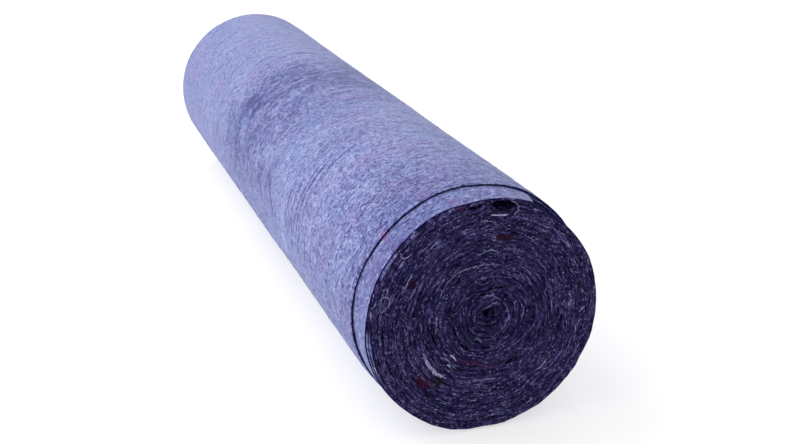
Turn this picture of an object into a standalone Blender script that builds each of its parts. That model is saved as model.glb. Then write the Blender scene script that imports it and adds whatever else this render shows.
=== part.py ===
# Roll of frost protection fleece, lying on its side.
#
# A felted fleece web is wound on itself in a spiral, with no core tube. A thinner fleece sheet
# goes once round the winding and laps over its own start. It sits back from the winding's front
# end, and the last stretch of it is a free end that lifts off the roll.
#
# Metres, +Z up. The roll's axis runs along Y, with the front end at -Y. The origin is on the
# flat strip that the roll rests on, below the axis and halfway along the roll. Angles round the
# roll are in degrees, clockwise from the top as seen from the front end.

import math

import bmesh
import bpy
import numpy as np

MM = 0.001

# The wound web
WEB_WIDTH = 1000 * MM
ROLL_RADIUS = 130 * MM
PLY_THICKNESS = 4.25 * MM
PLY_GAP = 0.8 * MM
LEAST_START_RADIUS = 3.2 * MM
TAIL_ANGLE = 22.5
WINDING_POINTS = 24

# The middle of the winding lies a little up and to the right of the roll's axis.
CORE_SHIFT_X = 3.6 * MM
CORE_SHIFT_Z = 2.7 * MM

# The web runs in and out along the axis as it winds, and its last turns stand back.
EDGE_WANDER = 0.9 * MM
WANDER_TURNS = 3.4
LAST_TURNS_SETBACK = 1.8 * MM
LAST_TURNS = 2.5

# The outer wrap
WRAP_WIDTH = 1000 * MM
WRAP_THICKNESS = 2.4 * MM
WRAP_SETBACK = 41 * MM
WRAP_START = 5.0
WRAP_LAP = 80.0
SEATING_SWEEP = 20.0
FREE_END_SWEEP = 60.0
WRAP_POINTS = 72

# What neighbours leave between them
CLEARANCE = 0.3 * MM

# The underside is pressed flat by the roll's own weight, by this share of the radius.
SAG_SHARE = 0.0125

FULL_TURN = 360.0
BOTTOM = 180.0
QUARTER_TURN = 90.0

# Derived sizes
PLY_PITCH = PLY_THICKNESS + PLY_GAP
TAIL_SURFACE_RADIUS = ROLL_RADIUS - WRAP_THICKNESS - CLEARANCE
TAIL_RADIUS = TAIL_SURFACE_RADIUS - PLY_THICKNESS / 2
TURNS = math.floor((TAIL_RADIUS - LEAST_START_RADIUS) / PLY_PITCH)
WRAP_FULL_TURN = FULL_TURN
WRAP_END = FULL_TURN + WRAP_START + WRAP_LAP
WRAP_ROOT = WRAP_END - FREE_END_SWEEP
SEAT_DROP = PLY_PITCH - WRAP_THICKNESS - CLEARANCE
OVERALL_LENGTH = max(WEB_WIDTH, WRAP_SETBACK + WRAP_WIDTH)
FRONT_Y = -OVERALL_LENGTH / 2
WRAP_FRONT_Y = FRONT_Y + WRAP_SETBACK


def smooth_step(share):
    share = min(max(share, 0.0), 1.0)
    return share * share * (3.0 - 2.0 * share)


def round_roll(angle, radius):
    """The point (x, z) at a clockwise angle from the top, at a radius from the axis."""
    turned = math.radians(angle)
    return np.array([radius * math.sin(turned), radius * math.cos(turned)])


def pressed_flat(radius, angle):
    """The radius of a turn after the underside is pressed flat."""
    from_bottom = angle % FULL_TURN - BOTTOM
    if abs(from_bottom) >= QUARTER_TURN:
        return radius
    lowest = radius - PLY_PITCH * from_bottom / FULL_TURN
    depth = lowest * (1.0 - SAG_SHARE)
    return min(radius, depth / math.cos(math.radians(from_bottom)))


def winding_path():
    """The middle line of the wound web, from its start in the middle to its tail, as (x, y, z)."""
    path = []
    for step in range(TURNS * WINDING_POINTS + 1):
        turn = step / WINDING_POINTS
        angle = TAIL_ANGLE + FULL_TURN * (turn - TURNS)
        radius = TAIL_RADIUS - PLY_PITCH * (TURNS - turn)
        inward = 1.0 - turn / TURNS
        x, z = round_roll(angle, pressed_flat(radius, angle))
        setback = LAST_TURNS_SETBACK * smooth_step((turn - TURNS + LAST_TURNS) / LAST_TURNS)
        wander = EDGE_WANDER * (1.0 - math.cos(2 * math.pi * turn / WANDER_TURNS)) / 2
        y = FRONT_Y + setback + wander
        path.append((x + CORE_SHIFT_X * inward, y, z + CORE_SHIFT_Z * inward))
    return path


def wrap_radius(past_tail):
    """The radius of the wrap's middle line, at an angle past the winding's tail."""
    on_web = TAIL_SURFACE_RADIUS - PLY_PITCH * (1.0 - past_tail / FULL_TURN)
    seated = SEAT_DROP * smooth_step((past_tail - WRAP_FULL_TURN) / SEATING_SWEEP)
    return on_web + CLEARANCE + WRAP_THICKNESS / 2 - seated


def wrap_point(past_tail):
    angle = TAIL_ANGLE + past_tail
    x, z = round_roll(angle, pressed_flat(wrap_radius(past_tail), angle))
    return (x, WRAP_FRONT_Y, z)


def wrap_path(start, end):
    """The wrap's middle line between two angles past the winding's tail, as (x, y, z)."""
    steps = max(1, round((end - start) / FULL_TURN * WRAP_POINTS))
    return [wrap_point(start + (end - start) * step / steps) for step in range(steps + 1)]


def mitred_side(path, offset):
    """The line at this distance outside a middle line, in the X-Z plane."""
    line = np.array([(x, z) for x, _, z in path])
    along = np.diff(line, axis=0)
    along /= np.linalg.norm(along, axis=1)[:, None]
    out = np.stack([-along[:, 1], along[:, 0]], axis=1)
    normals = np.concatenate([out[:1], out[:-1] + out[1:], out[-1:]])
    normals /= np.linalg.norm(normals, axis=1)[:, None]
    facing = np.concatenate([out[:1], out])
    spread = np.sum(normals * facing, axis=1)
    return line + offset * normals / spread[:, None]


def filled_in(line, between):
    """The line's points with more of them evenly spaced on each straight."""
    shares = np.arange(between) / between
    return (line[:-1, None] + (line[1:] - line[:-1])[:, None] * shares[:, None]).reshape(-1, 2)


def least_gap(path):
    """The smallest distance between one turn's outer side and the next turn's inner side."""
    between = 8
    outer = filled_in(mitred_side(path, PLY_THICKNESS / 2), between)
    inner = filled_in(mitred_side(path, -PLY_THICKNESS / 2), between)
    turn = WINDING_POINTS * between
    least = math.inf
    for start in range(0, len(outer) - turn, WINDING_POINTS):
        here = outer[start : start + WINDING_POINTS]
        above = inner[start + turn - WINDING_POINTS : start + turn + 2 * WINDING_POINTS]
        if len(above):
            apart = np.linalg.norm(here[:, None] - above[None], axis=2)
            least = min(least, float(apart.min()))
    return least


def cloth_material(name, colour, roughness):
    material = bpy.data.materials.new(name)
    material.use_nodes = True
    shader = material.node_tree.nodes["Principled BSDF"]
    shader.inputs["Base Color"].default_value = (*colour, 1.0)
    shader.inputs["Roughness"].default_value = roughness
    shader.inputs["Metallic"].default_value = 0.0
    material.diffuse_color = (*colour, 1.0)
    return material


def axis_empty(name, location, parent, collection):
    empty = bpy.data.objects.new(name, None)
    empty.location = location
    empty.parent = parent
    collection.objects.link(empty)
    return empty


def sheet_object(name, path, width, thickness, material, parent, collection):
    """A sheet of one thickness whose middle line is the path and whose width runs along Y."""
    mesh = bpy.data.meshes.new(name)
    cloth = bmesh.new()
    points = [cloth.verts.new(point) for point in path]
    edges = [cloth.edges.new(pair) for pair in zip(points, points[1:])]
    extruded = bmesh.ops.extrude_edge_only(cloth, edges=edges)["geom"]
    far_points = [item for item in extruded if isinstance(item, bmesh.types.BMVert)]
    bmesh.ops.translate(cloth, verts=far_points, vec=(0.0, width, 0.0))
    cloth.normal_update()
    cloth.to_mesh(mesh)
    cloth.free()
    sheet = bpy.data.objects.new(name, mesh)
    sheet.parent = parent
    collection.objects.link(sheet)
    mesh.materials.append(material)
    mesh.shade_smooth()
    mesh.set_sharp_from_angle(angle=math.radians(40.0))
    solid = sheet.modifiers.new("thickness", "SOLIDIFY")
    solid.thickness = thickness
    solid.offset = 0.0
    solid.use_even_offset = True
    return sheet


def build():
    for old in list(bpy.data.objects):
        bpy.data.objects.remove(old, do_unlink=True)
    collection = bpy.data.collections.new("fleece_roll")
    bpy.context.scene.collection.children.link(collection)
    web_felt = cloth_material("web_felt", (0.11, 0.11, 0.24), 0.95)
    wrap_felt = cloth_material("wrap_felt", (0.29, 0.32, 0.60), 0.92)

    lowest_wrap = wrap_radius(BOTTOM - TAIL_ANGLE) * (1.0 - SAG_SHARE) + WRAP_THICKNESS / 2
    roll_axis = axis_empty("roll_axis", (0.0, 0.0, lowest_wrap), None, collection)

    web = winding_path()
    sheet_object(
        "fleece_winding", web, WEB_WIDTH, PLY_THICKNESS, web_felt, roll_axis, collection
    )

    # The wrap slides along the roll's axis.
    slide_axis = axis_empty("wrap_slide_axis", (0.0, 0.0, 0.0), roll_axis, collection)
    sheet_object(
        "outer_wrap",
        wrap_path(WRAP_START, WRAP_ROOT),
        WRAP_WIDTH,
        WRAP_THICKNESS,
        wrap_felt,
        slide_axis,
        collection,
    )

    # The free end turns about the outer side of the wrap, where the two meet.
    root_angle = TAIL_ANGLE + WRAP_ROOT
    root_radius = wrap_radius(WRAP_ROOT)
    hinge_x, hinge_z = round_roll(root_angle, root_radius + WRAP_THICKNESS / 2)
    lift_axis = axis_empty("free_end_axis", (hinge_x, 0.0, hinge_z), slide_axis, collection)
    root_gap = math.degrees(CLEARANCE / root_radius)
    free_path = [
        (x - hinge_x, y, z - hinge_z) for x, y, z in wrap_path(WRAP_ROOT + root_gap, WRAP_END)
    ]
    sheet_object(
        "wrap_free_end",
        free_path,
        WRAP_WIDTH,
        WRAP_THICKNESS,
        wrap_felt,
        lift_axis,
        collection,
    )

    flat_line = np.array([(x, z) for x, _, z in web])
    web_length = float(np.linalg.norm(np.diff(flat_line, axis=0), axis=1).sum())
    print(f"turns {TURNS}, web length {web_length:.2f} m")
    print(f"least gap between turns {least_gap(web) / MM:.2f} mm")
    print(f"roll axis height {lowest_wrap / MM:.3f} mm")
    print(f"free end axis x {hinge_x / MM:.3f} z {(hinge_z + lowest_wrap) / MM:.3f} mm")


build()
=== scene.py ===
# Roll of frost protection fleece: the looks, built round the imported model.
# Metres, +Z up, the roll's axis along Y with its front end at -Y. Angles round the roll are in
# degrees, clockwise from the top as seen from the front end.
import math

import bmesh
import bpy
import numpy as np
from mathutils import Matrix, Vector


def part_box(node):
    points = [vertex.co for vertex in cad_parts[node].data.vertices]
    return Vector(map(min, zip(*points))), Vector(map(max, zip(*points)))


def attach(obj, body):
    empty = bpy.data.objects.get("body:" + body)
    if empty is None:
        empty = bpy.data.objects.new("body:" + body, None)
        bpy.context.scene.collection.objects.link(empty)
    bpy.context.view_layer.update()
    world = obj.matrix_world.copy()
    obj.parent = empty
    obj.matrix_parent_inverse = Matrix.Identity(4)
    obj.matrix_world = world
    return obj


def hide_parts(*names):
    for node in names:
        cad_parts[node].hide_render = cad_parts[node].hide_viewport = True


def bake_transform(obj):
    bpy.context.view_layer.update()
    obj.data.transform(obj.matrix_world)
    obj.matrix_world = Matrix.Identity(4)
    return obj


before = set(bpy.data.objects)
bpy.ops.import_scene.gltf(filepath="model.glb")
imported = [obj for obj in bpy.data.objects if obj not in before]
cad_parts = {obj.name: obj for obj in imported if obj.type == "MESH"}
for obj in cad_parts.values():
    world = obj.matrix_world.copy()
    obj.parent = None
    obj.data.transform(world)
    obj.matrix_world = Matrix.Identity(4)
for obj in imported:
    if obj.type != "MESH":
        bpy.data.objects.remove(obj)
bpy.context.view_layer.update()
print("frame loaded")

mm = 0.001
fullTurn = 360.0

rollShape = {
    "outerRadius": 130 * mm,
    "plyThickness": 4.25 * mm,
    "plyGap": 0.8 * mm,
    "turns": 24,
    "tailAngle": 22.5,
    "coreShiftX": 3.6 * mm,
    "coreShiftZ": 2.7 * mm,
    "sagShare": 0.0125,
    "sagSoftness": 0.4 * mm,
    "wrapThickness": 2.4 * mm,
    "clearance": 0.3 * mm,
    "wrapStart": 5.0,  # angles past the web's tail
    "wrapRoot": 385.0,
    "wrapEnd": 445.0,
    "seatingSweep": 20.0,
}
turns = rollShape["turns"]
outerRadius = rollShape["outerRadius"]
wrapThickness, clearance = rollShape["wrapThickness"], rollShape["clearance"]
plyThickness = rollShape["plyThickness"]
plyPitch = plyThickness + rollShape["plyGap"]
webOuterRadius = outerRadius - wrapThickness - clearance
tailRadius = webOuterRadius - plyThickness / 2
startRadius = tailRadius - plyPitch * turns
seatDrop = plyPitch - wrapThickness - clearance  # how far the wrap steps down onto its own start

windingLow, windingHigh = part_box("fleece_winding")
wrapLow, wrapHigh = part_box("outer_wrap")
frontY = windingLow.y


def smoothStep(share):
    share = np.clip(share, 0.0, 1.0)
    return share * share * (3.0 - 2.0 * share)


def degreesFrom(angle, centre):
    return np.mod(angle - centre + fullTurn / 2, fullTurn) - fullTurn / 2


def degreesFromBottom(angle):
    return np.mod(angle, fullTurn) - fullTurn / 2


def offAxis(radius, angle):
    # how far to the right of the roll's axis and above it
    turned = np.radians(angle)
    return radius * np.sin(turned), radius * np.cos(turned)


def wrapOuterRadius(pastTail):
    # the wrap's outer side at an angle past the web's tail, before the underside is pressed flat
    onWeb = webOuterRadius - plyPitch * (1.0 - pastTail / fullTurn)
    seated = seatDrop * smoothStep((pastTail - fullTurn) / rollShape["seatingSweep"])
    return onWeb + clearance + wrapThickness - seated


def axisHeightOf():
    # the wrap's outer side is pressed flat at the bottom, where it meets the floor
    middle = wrapOuterRadius(fullTurn / 2 - rollShape["tailAngle"]) - wrapThickness / 2
    return float(middle * (1.0 - rollShape["sagShare"]) + wrapThickness / 2)


axisHeight = axisHeightOf()
print(f"axis height {axisHeight / mm:.2f} mm, front at {frontY:.4f} m")


def pressedFlat(radius, angle):
    # softly limits the radius round the bottom, where the roll's weight flattens the felt
    fromBottom = degreesFromBottom(angle)
    near = np.abs(fromBottom) < 60.0
    cosine = np.cos(np.radians(np.where(near, fromBottom, 0.0)))
    lowest = radius - plyPitch * fromBottom / fullTurn
    limit = lowest * (1.0 - rollShape["sagShare"]) / cosine
    soft = rollShape["sagSoftness"]
    eased = radius - soft * np.log1p(np.exp(np.clip((radius - limit) / soft, -60.0, 60.0)))
    return np.where(near, eased, radius)


def ripples(points, wavelength, seed, waves=14):
    # smooth, repeatable noise of about -1 to 1, as a sum of waves in fixed random directions
    rng = np.random.default_rng(seed)
    points = np.atleast_2d(points)
    total = np.zeros(len(points))
    for _ in range(waves):
        direction = rng.normal(size=points.shape[1])
        direction /= np.linalg.norm(direction)
        pace = 2 * math.pi / (wavelength * rng.uniform(0.7, 1.6))
        total += np.sin(points @ direction * pace + rng.uniform(0, 2 * math.pi))
    return total / math.sqrt(waves) * 0.9


# Meshes

def newObject(name, data):
    piece = bpy.data.objects.new(name, data)
    bpy.context.scene.collection.objects.link(piece)
    return piece


def arrayOf(items, label, kind=np.float32, width=1):
    values = np.zeros(len(items) * width, kind)
    items.foreach_get(label, values)
    return values


def readAttribute(mesh, name):
    return arrayOf(mesh.attributes[name].data, "value").astype(float)


def storeAttribute(mesh, name, values):
    kept = mesh.attributes.new(name, "FLOAT", "POINT")
    kept.data.foreach_set("value", np.asarray(values, np.float32))


def pointsOf(mesh):
    return arrayOf(mesh.vertices, "co", width=3).reshape(-1, 3).astype(float)


def facesWithin(mesh, picked):
    # the faces whose corners are all picked
    starts = arrayOf(mesh.polygons, "loop_start", np.int32)
    corners = arrayOf(mesh.loops, "vertex_index", np.int32)
    return np.logical_and.reduceat(picked[corners], starts)


def storeUv(mesh, around, across):
    # the cloth's own coordinates in metres: distance along the web, and across its section
    corners = arrayOf(mesh.loops, "vertex_index", np.int32)
    layer = mesh.uv_layers.get("cloth") or mesh.uv_layers.new(name="cloth")
    pairs = np.stack([around[corners], across[corners]], axis=1).astype(np.float32)
    layer.data.foreach_set("uv", pairs.ravel())


def turnedOut(mesh):
    # faces point outwards
    cloth = bmesh.new()
    cloth.from_mesh(mesh)
    bmesh.ops.recalc_face_normals(cloth, faces=cloth.faces)
    cloth.to_mesh(mesh)
    cloth.free()
    mesh.shade_smooth()


# Nodes

class NodeValue:
    # a node's output that takes part in sums, each of which adds a Math node to its tree

    def __init__(self, socket):
        self.socket = socket
        self.tree = socket.id_data

    def __add__(self, other):
        return mathNode("ADD", self, other)

    def __sub__(self, other):
        return mathNode("SUBTRACT", self, other)

    def __rsub__(self, other):
        return mathNode("SUBTRACT", other, self)

    def __mul__(self, other):
        return mathNode("MULTIPLY", self, other)

    def __truediv__(self, other):
        return mathNode("DIVIDE", self, other)

    def __rtruediv__(self, other):
        return mathNode("DIVIDE", other, self)

    def __pow__(self, other):
        return mathNode("POWER", self, other)

    def __abs__(self):
        return mathNode("ABSOLUTE", self)


def openSocket(sockets, name):
    if isinstance(name, int):
        return sockets[name]
    return next(socket for socket in sockets if socket.enabled and socket.name == name)


def feed(socket, value):
    # links a node's output to the socket, or sets the socket's own value
    if isinstance(value, NodeValue):
        value.tree.links.new(value.socket, socket)
    else:
        socket.default_value = value


def addNode(kind, inputs=None, tree=None, **settings):
    # where no tree is given, the node joins the tree that its inputs come from
    inputs = inputs or {}
    tree = tree or next(value.tree for value in inputs.values() if isinstance(value, NodeValue))
    node = tree.nodes.new(kind)
    for name, value in settings.items():
        setattr(node, name, value)
    for name, value in inputs.items():
        feed(openSocket(node.inputs, name), value)
    return node


def outOf(node, name=0):
    return NodeValue(openSocket(node.outputs, name))


def mathNode(operation, *values, clamp=False):
    inputs = dict(enumerate(values))
    return outOf(addNode("ShaderNodeMath", inputs, operation=operation, use_clamp=clamp))


def timesPlus(value, factor, base):
    return mathNode("MULTIPLY_ADD", value, factor, base)


def vectorNode(operation, *values, output="Vector"):
    names = (0, "Scale") if operation == "SCALE" else (0, 1)
    inputs = dict(zip(names, values))
    return outOf(addNode("ShaderNodeVectorMath", inputs, operation=operation), output)


def lengthOf(vector):
    return vectorNode("LENGTH", vector, output="Value")


def vectorOf(**parts):
    inputs = {name.upper(): value for name, value in parts.items()}
    return outOf(addNode("ShaderNodeCombineXYZ", inputs))


def partsOf(vector):
    node = addNode("ShaderNodeSeparateXYZ", {"Vector": vector})
    return [outOf(node, name) for name in "XYZ"]


def rangeOf(value, low, high, newLow=0.0, newHigh=1.0):
    inputs = {"Value": value, "From Min": low, "From Max": high, "To Min": newLow, "To Max": newHigh}
    return outOf(addNode("ShaderNodeMapRange", inputs, clamp=True), "Result")


def noiseOf(coords, scale=1.0, detail=2.0, roughness=0.55, distortion=0.0):
    inputs = {"Vector": coords, "Scale": scale, "Detail": detail}
    inputs.update({"Roughness": roughness, "Distortion": distortion})
    return outOf(addNode("ShaderNodeTexNoise", inputs))


def newGeometryTree(name, inputs):
    # a tree with these inputs after its geometry, and its inputs by name
    tree = bpy.data.node_groups.new(name, "GeometryNodeTree")
    for label, kind in {"Geometry": "Geometry", **inputs}.items():
        tree.interface.new_socket(label, in_out="INPUT", socket_type="NodeSocket" + kind)
    tree.interface.new_socket("Geometry", in_out="OUTPUT", socket_type="NodeSocketGeometry")
    given = tree.nodes.new("NodeGroupInput")
    return tree, {socket.name: NodeValue(socket) for socket in given.outputs if socket.name}


def storeOn(geometry, name, value, kind="FLOAT"):
    inputs = {"Geometry": geometry, "Name": name, "Value": value}
    settings = {"data_type": kind, "domain": "POINT"}
    return outOf(addNode("GeometryNodeStoreNamedAttribute", inputs, **settings))


def splineShare(tree, output):
    return outOf(addNode("GeometryNodeSplineParameter", tree=tree), output)


def straightLine(tree, count, start, end):
    line = addNode("GeometryNodeCurvePrimitiveLine", {"Start": start, "End": end}, tree)
    return outOf(addNode("GeometryNodeResampleCurve", {"Curve": outOf(line), "Count": count}))


def finishTree(tree, geometry, material):
    real = addNode("GeometryNodeRealizeInstances", {"Geometry": geometry})
    dressed = addNode("GeometryNodeSetMaterial", {"Geometry": outOf(real), "Material": material})
    feed(tree.nodes.new("NodeGroupOutput").inputs["Geometry"], outOf(dressed))


def identifierOf(tree, label):
    for item in tree.interface.items_tree:
        if item.item_type == "SOCKET" and item.in_out == "INPUT" and item.name == label:
            return item.identifier
    raise KeyError(label)


def grownMesh(name, tree, values, base=None):
    # runs the tree on a base mesh and keeps the result as a plain mesh object
    carrier = newObject(name + "Carrier", base or bpy.data.meshes.new(name + "Base"))
    grower = carrier.modifiers.new("grow", "NODES")
    grower.node_group = tree
    for label, value in values.items():
        grower[identifierOf(tree, label)] = value
    graph = bpy.context.evaluated_depsgraph_get()
    mesh = bpy.data.meshes.new_from_object(carrier.evaluated_get(graph), depsgraph=graph)
    mesh.name = name
    bpy.data.objects.remove(carrier)
    return newObject(name, mesh)


# Materials

feltLook = {
    "tones": (
        (0.00, (0.046, 0.048, 0.200, 1)),
        (0.28, (0.134, 0.145, 0.380, 1)),
        (0.50, (0.246, 0.273, 0.545, 1)),
        (0.72, (0.330, 0.366, 0.650, 1)),
        (1.00, (0.520, 0.560, 0.850, 1)),
    ),
    "meanTone": 0.534,
    # the mottling's noises, from broad clouds down to single tufts: scale, turn, detail, weight
    "mottles": (
        ((13.0, 15.0), 0.0, 3.0, 0.30),
        ((80.0, 88.0), 0.3, 2.0, 0.78),
        ((205.0, 215.0), 0.08, 2.0, 1.10),
        ((380.0, 350.0), -0.3, 2.0, 1.20),
    ),
    # stretches as two distances from the front end, and here what the mottling grows to
    "strongerStretch": (0.34, 0.10, 1.0, 1.28),
    "swingBySide": (-70.0, -10.0, 1.08, 0.94),  # the same between two angles from the top
    "nearFront": (0.22, 0.05),
    "frontDarkening": 0.15,
    "farEnd": (0.68, 0.88),
    "farTone": 0.65,
    "farCalm": 0.20,
    "rim": (5.4 * mm, 3.2 * mm),  # the cut edge of the front band catches the light
    "rimBrightening": 0.15,
    "patchRise": (0.36, 0.48),
    "patchFall": (0.70, 0.60),
    "patchDepth": 0.31,
    "patchMiddle": -35.0,  # in degrees, as its two half sweeps, past which it fades
    "patchSweeps": (46.0, 78.0),
    "patchAtSides": 0.40,
    "streakFrom": 0.475,  # the darkest streak, whose place is slanted across the roll
    "streakTo": 0.615,
    "streakSlant": 0.70,
    "streakDepth": 0.36,
    "pitDepth": 0.42,
    # single fibres: turn, scale and width
    "fibres": (
        (0.05, (45.0, 300.0), 0.022),
        (0.50, (80.0, 300.0), 0.018),
        (-0.60, (80.0, 300.0), 0.018),
        (1.40, (90.0, 280.0), 0.014),
    ),
    "fibreBrightening": 0.15,
    # patches that lean to violet and to blue: scale, turn, shift, where they start and end, tint
    "tints": (
        ((17.0, 19.0), 0.2, (3.1, 1.7), (0.46, 0.70), (1.08, 0.88, 0.96, 1)),
        ((15.0, 17.0), 0.7, (9.1, 5.7), (0.44, 0.68), (0.91, 1.02, 1.04, 1)),
    ),
    # pink and blue flecks and pale neps: scale, turn, shift, share of the cells, strength, colour
    "flecks": (
        ((75.0, 150.0), 0.1, (0.0, 0.0), 0.016, 0.20, (0.42, 0.16, 0.45, 1)),
        ((60.0, 130.0), -0.1, (5, 3), 0.014, 0.30, (0.26, 0.42, 0.66, 1)),
        ((330.0, 430.0), 0.0, (0.0, 0.0), 0.003, 0.7, (0.80, 0.82, 0.97, 1)),
    ),
    # the tint of the painted shade that the dim attribute lays on the felt
    "dim": (0.11, 0.085, 0.15, 1),
    "sheen": 0.86,
    "sheenTint": (0.62, 0.68, 1.0, 1),
}

# angle from the top, distance from the front end, half sizes round and along the roll, tint, share
feltSpots = (
    (-14.5, 16 * mm, 9 * mm, 15 * mm, (0.22, 0.085, 0.38, 1), 0.72),
    (-43.5, 24 * mm, 12 * mm, 11 * mm, (0.17, 0.26, 0.54, 1), 0.40),
    (-45.0, 19 * mm, 66 * mm, 26 * mm, (0.07, 0.05, 0.24, 1), 0.42),
    (-86.0, 20 * mm, 16 * mm, 14 * mm, (0.17, 0.27, 0.54, 1), 0.45),
    (-9.0, 28 * mm, 9 * mm, 10 * mm, (0.20, 0.31, 0.60, 1), 0.50),
    (-47.5, 44 * mm, 7 * mm, 16 * mm, (0.25, 0.10, 0.33, 1), 0.45),
    (-22.0, 58 * mm, 10 * mm, 14 * mm, (0.20, 0.13, 0.42, 1), 0.75),
    (-33.0, 62 * mm, 14 * mm, 20 * mm, (0.12, 0.13, 0.36, 1), 0.55),
    (-60.0, 30 * mm, 26 * mm, 22 * mm, (0.24, 0.20, 0.46, 1), 0.50),
    (-28.0, 114 * mm, 8 * mm, 10 * mm, (0.30, 0.17, 0.44, 1), 0.45),
    (-66.0, 150 * mm, 24 * mm, 34 * mm, (0.30, 0.24, 0.50, 1), 0.30),
    (-4.0, 120 * mm, 20 * mm, 26 * mm, (0.30, 0.24, 0.50, 1), 0.35),
)
cutSpots = ((-47.5, 44 * mm, 7 * mm, 16 * mm, (0.085, 0.009, 0.040, 1), 0.90),)

# folds round the roll, painted as shade in their sunk lines, which the bump also sinks: angle, distance
# from the front end, half sweep in degrees, slant, width and depth in millimetres, where a fold of less
# than no depth stands out paler as a painted highlight
feltFolds = (
    (-80.0, 392, 13.0, 2.1, 4.2, 0.75),
    (-52.0, 253, 24.0, 0.05, 2.4, 0.60),
    (-62.0, 266, 29.0, 0.05, 2.4, 0.66),
    (-60.0, 275, 21.0, 0.05, 2.4, 0.60),
    (-66.0, 292, 24.0, 0.08, 2.4, 0.44),
    (-82.0, 302, 16.0, 0.10, 2.4, 0.52),
    (-72.0, 313, 22.0, 0.10, 2.4, 0.62),
    (-88.0, 224, 20.0, 0.40, 2.8, 0.58),
    (-92.0, 283, 22.0, 0.10, 2.4, 0.46),
    (-91.0, 268, 22.0, 0.12, 4.0, -0.30),
    (-90.0, 250, 20.0, 0.15, 2.2, 0.42),
    (-84.0, 200, 20.0, 0.30, 2.4, 0.44),
    (-92.0, 358, 18.0, 0.60, 3.2, 0.40),
    (-94.0, 445, 18.0, 0.80, 4.0, 0.44),
    (-98.0, 325, 26.0, 0.30, 12.0, -0.26),
    (-16.0, 326, 18.0, -0.10, 2.8, -0.46),
    (-5.0, 470, 14.0, 0.20, 3.0, 0.36),
    (8.0, 540, 13.0, -0.60, 4.6, 0.44),
    (-2.0, 700, 14.0, -0.90, 5.0, 0.42),
    (-84.0, 735, 14.0, -1.20, 5.0, 0.42),
    (-50.0, 622, 8.0, -0.40, 8.0, 0.50),
)

cutLook = {
    "tones": (
        (0.00, (0.0030, 0.0018, 0.014, 1)),
        (0.32, (0.0135, 0.0092, 0.054, 1)),
        (0.55, (0.042, 0.0325, 0.128, 1)),
        (0.76, (0.115, 0.098, 0.295, 1)),
        (1.00, (0.400, 0.380, 0.720, 1)),
    ),
    "meanTone": 0.47,
    "strokes": (((34.0, 300.0), 0.0, 2.0, 1.00), ((130.0, 800.0), 0.06, 2.0, 1.25)),
    "tufts": (((300.0, 300.0, 300.0), 0.0, 2.0, 0.95), ((60.0, 60.0, 60.0), 0.0, 3.0, 0.60)),
    "coreToRim": (12 * mm, 92 * mm, -0.035, 0.035),  # two distances from the axis, and the tones added
    "lineBrightening": 0.22,
    # the tint of the painted shade on the cut felt
    "shade": (0.30, 0.25, 0.56, 1),
    "flecks": (
        ((90.0, 420.0), 0.0, (0.0, 0.0), 0.012, 1.0, (0.058, 0.014, 0.045, 1)),
        ((60.0, 380.0), 0.0, (4, 2), 0.03, 0.7, (0.020, 0.045, 0.110, 1)),
        ((420.0, 900.0), 0.0, (0.0, 0.0), 0.02, 0.6, (0.40, 0.39, 0.72, 1)),
    ),
}


def mixColour(amount, first, second, blend="MIX"):
    inputs = {"Factor": amount, "A": first, "B": second}
    return outOf(addNode("ShaderNodeMix", inputs, data_type="RGBA", blend_type=blend), "Result")


def scaledCoords(coords, scale, turn=0.0, shift=(0.0, 0.0)):
    # two scales are for the cloth's plane, and three for space
    inputs = {"Vector": coords, "Scale": (*scale, 1.0)[:3]}
    inputs.update({"Rotation": (0.0, 0.0, turn), "Location": (*shift, 0.0)})
    return outOf(addNode("ShaderNodeMapping", inputs), "Vector")


def clothNoise(coords, scale, turn=0.0, shift=(0.0, 0.0), detail=2.0, roughness=0.55, distortion=0.0):
    return noiseOf(scaledCoords(coords, scale, turn, shift), 1.0, detail, roughness, distortion)


def addedNoise(value, coords, parts):
    # adds each noise's swing about its middle, times a weight
    for scale, turn, detail, weight in parts:
        shift = (turn * 7 + 1, scale[0] * 0.37)
        swing = clothNoise(coords, scale, turn, shift, detail, 0.6, 0.5) - 0.5
        value = timesPlus(swing, weight, value)
    return value


def hairLines(coords, width):
    # thin bright lines where a stretched noise crosses its middle value
    return rangeOf(abs(noiseOf(coords, 1.0, 1.0, 0.5, 0.4) - 0.5), width, 0.0)


def flecked(colour, coords, flecks):
    # each kind tints a share of random cells, picked by one channel of their random colour
    for channel, (scale, turn, shift, share, strength, tint) in enumerate(flecks):
        inputs = {"Vector": scaledCoords(coords, scale, turn, shift), "Scale": 1.0}
        cells = addNode("ShaderNodeTexVoronoi", inputs)
        parts = addNode("ShaderNodeSeparateColor", {"Color": outOf(cells, "Color")})
        picked = mathNode("GREATER_THAN", outOf(parts, channel), 1.0 - share)
        near = rangeOf(outOf(cells, "Distance"), 0.55, 0.30)
        colour = mixColour(picked * near * strength, colour, tint)
    return colour


def placeOnRoll(place):
    # the angle round the roll, the place along it, and the distance from its axis
    x, along, z = partsOf(place)
    height = z - axisHeight
    return mathNode("ARCTAN2", x, height), along, lengthOf(vectorOf(x=x, z=height))


def tintedSpots(colour, angle, along, uneven, spots):
    # dyed wisps, each at its own angle and distance from the front, with a ragged outline
    rough = (uneven - 0.5) * 4.2
    for degrees, fromFront, halfArc, halfLength, tint, strength in spots:
        around = (angle - math.radians(degrees)) * (outerRadius / halfArc)
        level = (along - (frontY + fromFront)) / halfLength
        distance = lengthOf(vectorOf(x=around, y=level)) + rough
        colour = mixColour(rangeOf(distance, 1.05, 0.10) * strength, colour, tint)
    return colour


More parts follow.
